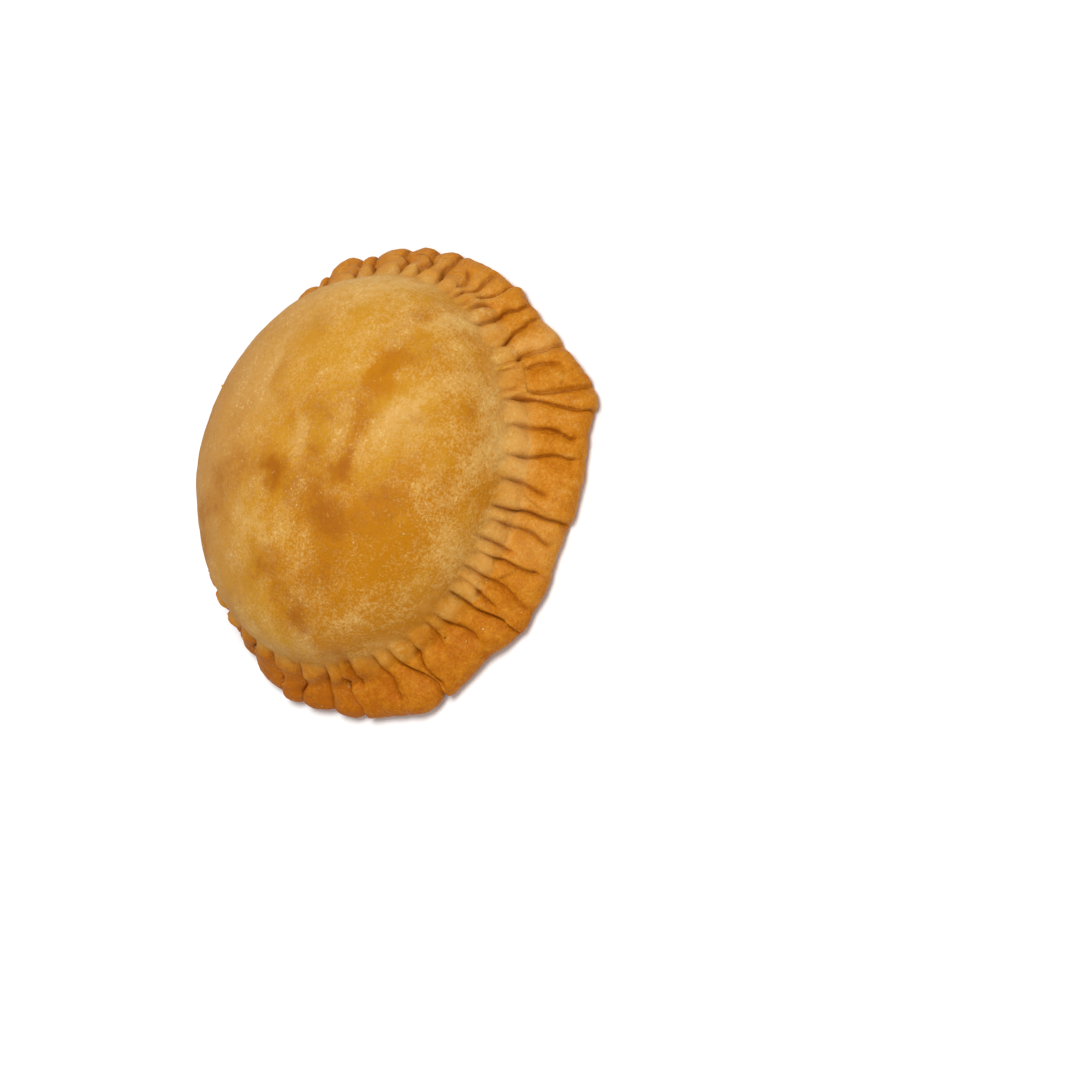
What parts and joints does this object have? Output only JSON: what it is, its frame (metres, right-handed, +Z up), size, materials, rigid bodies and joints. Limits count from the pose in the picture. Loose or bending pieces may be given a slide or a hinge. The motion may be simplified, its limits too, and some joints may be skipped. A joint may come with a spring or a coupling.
{
  "type": "savory hand pie",
  "caption": "Oval savory hand pie with a smooth domed lid and a pinched, folded crust rim all round, resting on a flat base.",
  "frame": {"origin": "middle of the pie's base, on the surface that it rests on", "axes": "+Z up, +X along the longer way of the oval, -Y towards the side with the wider rim"},
  "size_m": [0.121, 0.1098, 0.0408],
  "materials": {
    "crust": "baked shortcrust, mottled golden brown, matt with a faint greasy sheen"
  },
  "bodies": {
    "root": {"hand_pie": "crust"}
  },
  "joints": []
}
